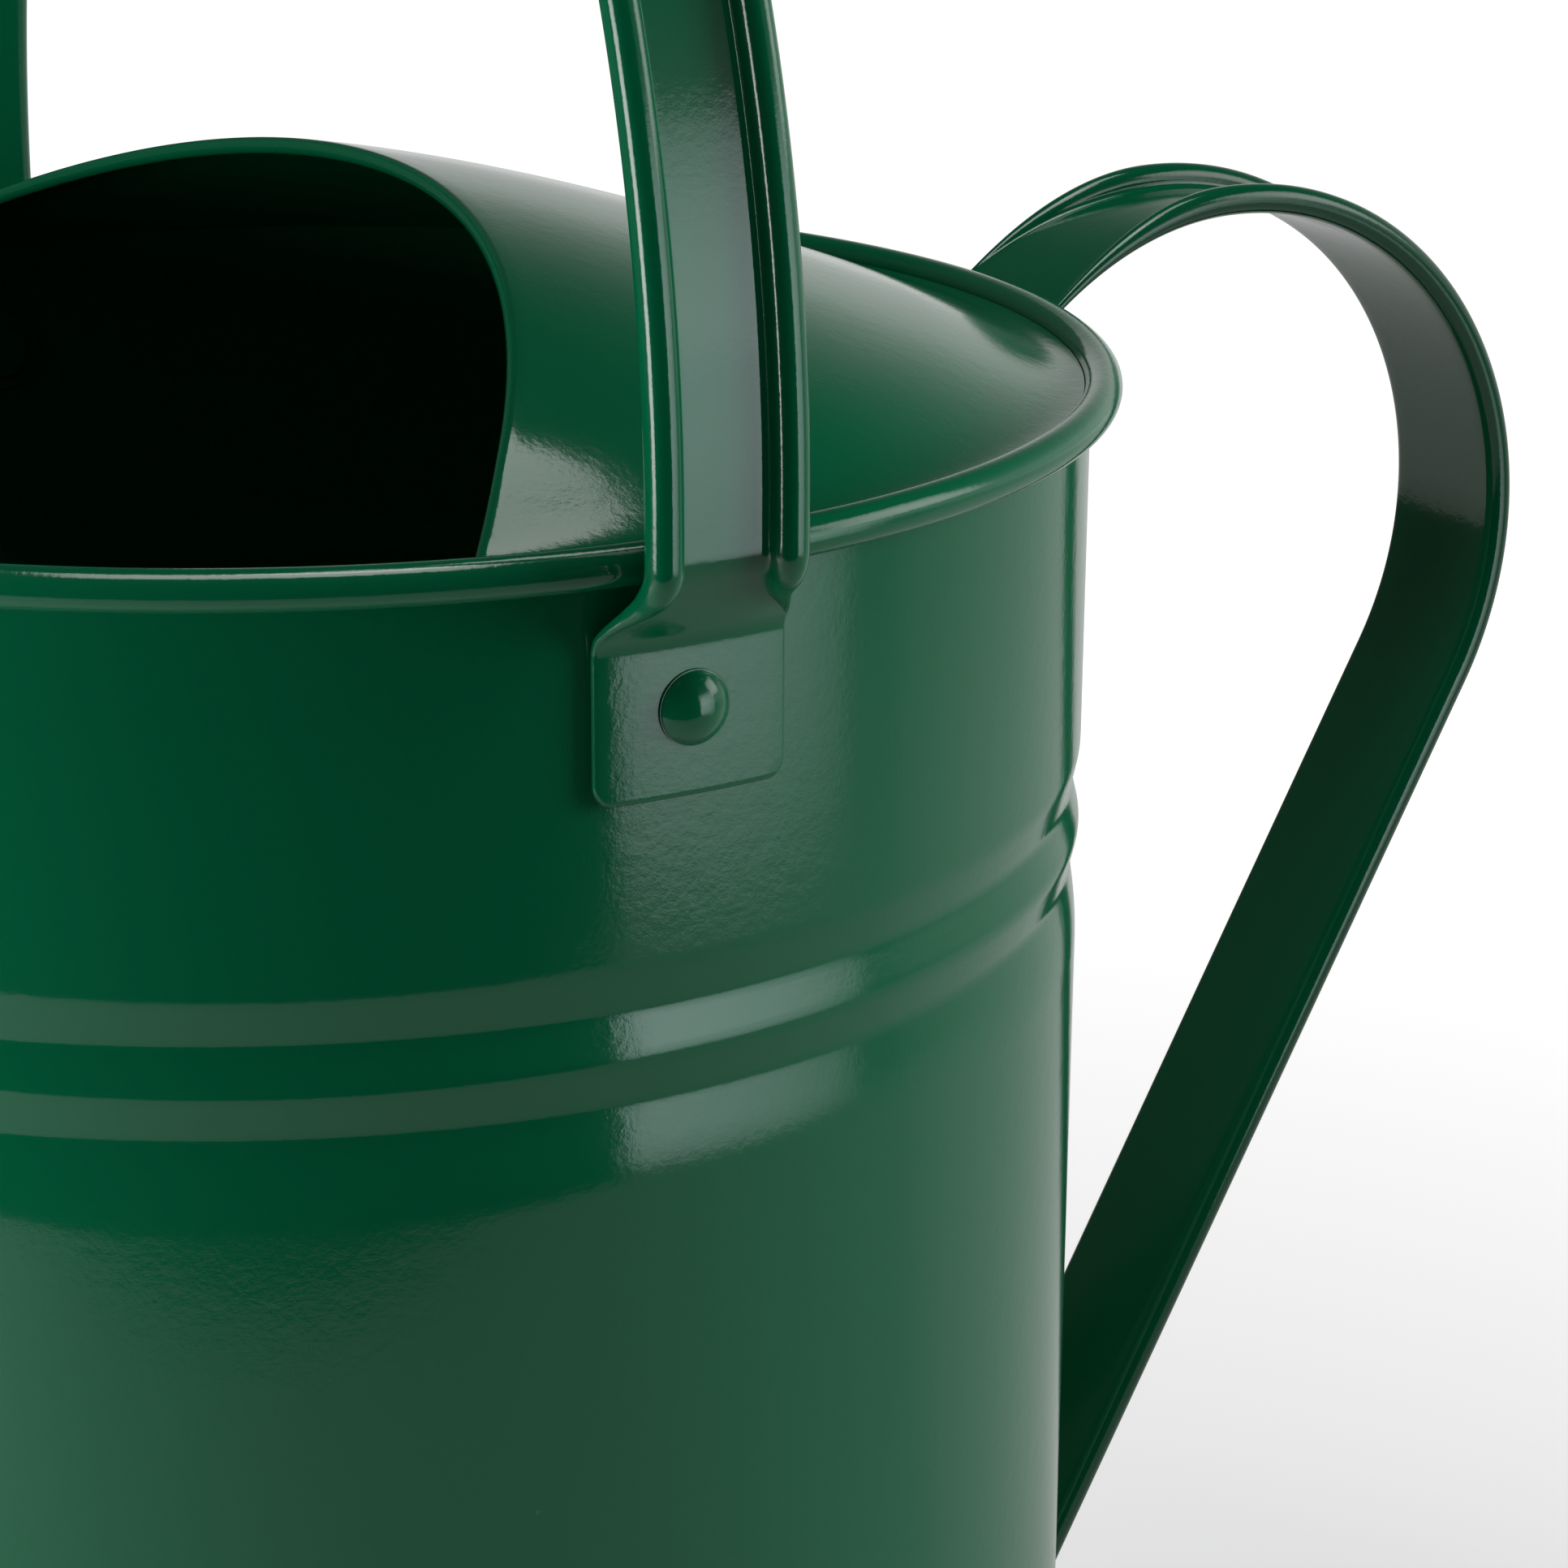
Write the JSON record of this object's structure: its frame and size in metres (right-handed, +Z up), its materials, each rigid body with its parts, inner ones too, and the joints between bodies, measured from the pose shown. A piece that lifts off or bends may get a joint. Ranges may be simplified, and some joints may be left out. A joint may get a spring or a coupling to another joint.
{
  "type": "watering can",
  "caption": "Round sheet-metal watering can with a wired rim, half hood, carry handle, looped rear handle, braced tapering spout and a push-on sprinkler rose.",
  "frame": {"origin": "middle of the ring the can stands on, on the ground", "axes": "+X towards the spout, +Y to the side of the riveted carry-handle tab nearest the camera, +Z up"},
  "size_m": [0.608, 0.2356, 0.4279],
  "materials": {
    "green_paint": "gloss",
    "bright_steel": "plain wire",
    "black_rubber": "matte"
  },
  "bodies": {
    "can": {"body_shell": "green_paint", "rim_wire": "bright_steel", "base_pan": "green_paint", "hood": "green_paint", "carry_handle": "green_paint", "carry_handle_rivets": "green_paint", "carry_handle_washers": "green_paint", "rear_handle": "green_paint", "rear_handle_rivets": "green_paint", "rear_handle_washers": "green_paint", "brace_rivets": "green_paint", "brace_washers": "green_paint", "spout_tube": "green_paint", "spout_collar": "green_paint", "spout_ferrule": "green_paint", "spout_brace": "green_paint"},
    "sleeve": {"rose_sleeve": "black_rubber"},
    "rose": {"rose_socket": "green_paint", "rose_cone": "green_paint", "rose_face": "green_paint", "rose_crimp": "green_paint"}
  },
  "joints": [
    {"name": "rose_pull", "type": "slide", "parent": "can", "child": "sleeve", "axis": [0.6691, 0, 0.7431], "range_m": [0, 0.045]},
    {"name": "rose_turn", "type": "hinge", "parent": "sleeve", "child": "rose", "pos_m": [0.31778, 0, 0.30609], "axis": [0.6691, 0, 0.7431], "continuous": true}
  ]
}
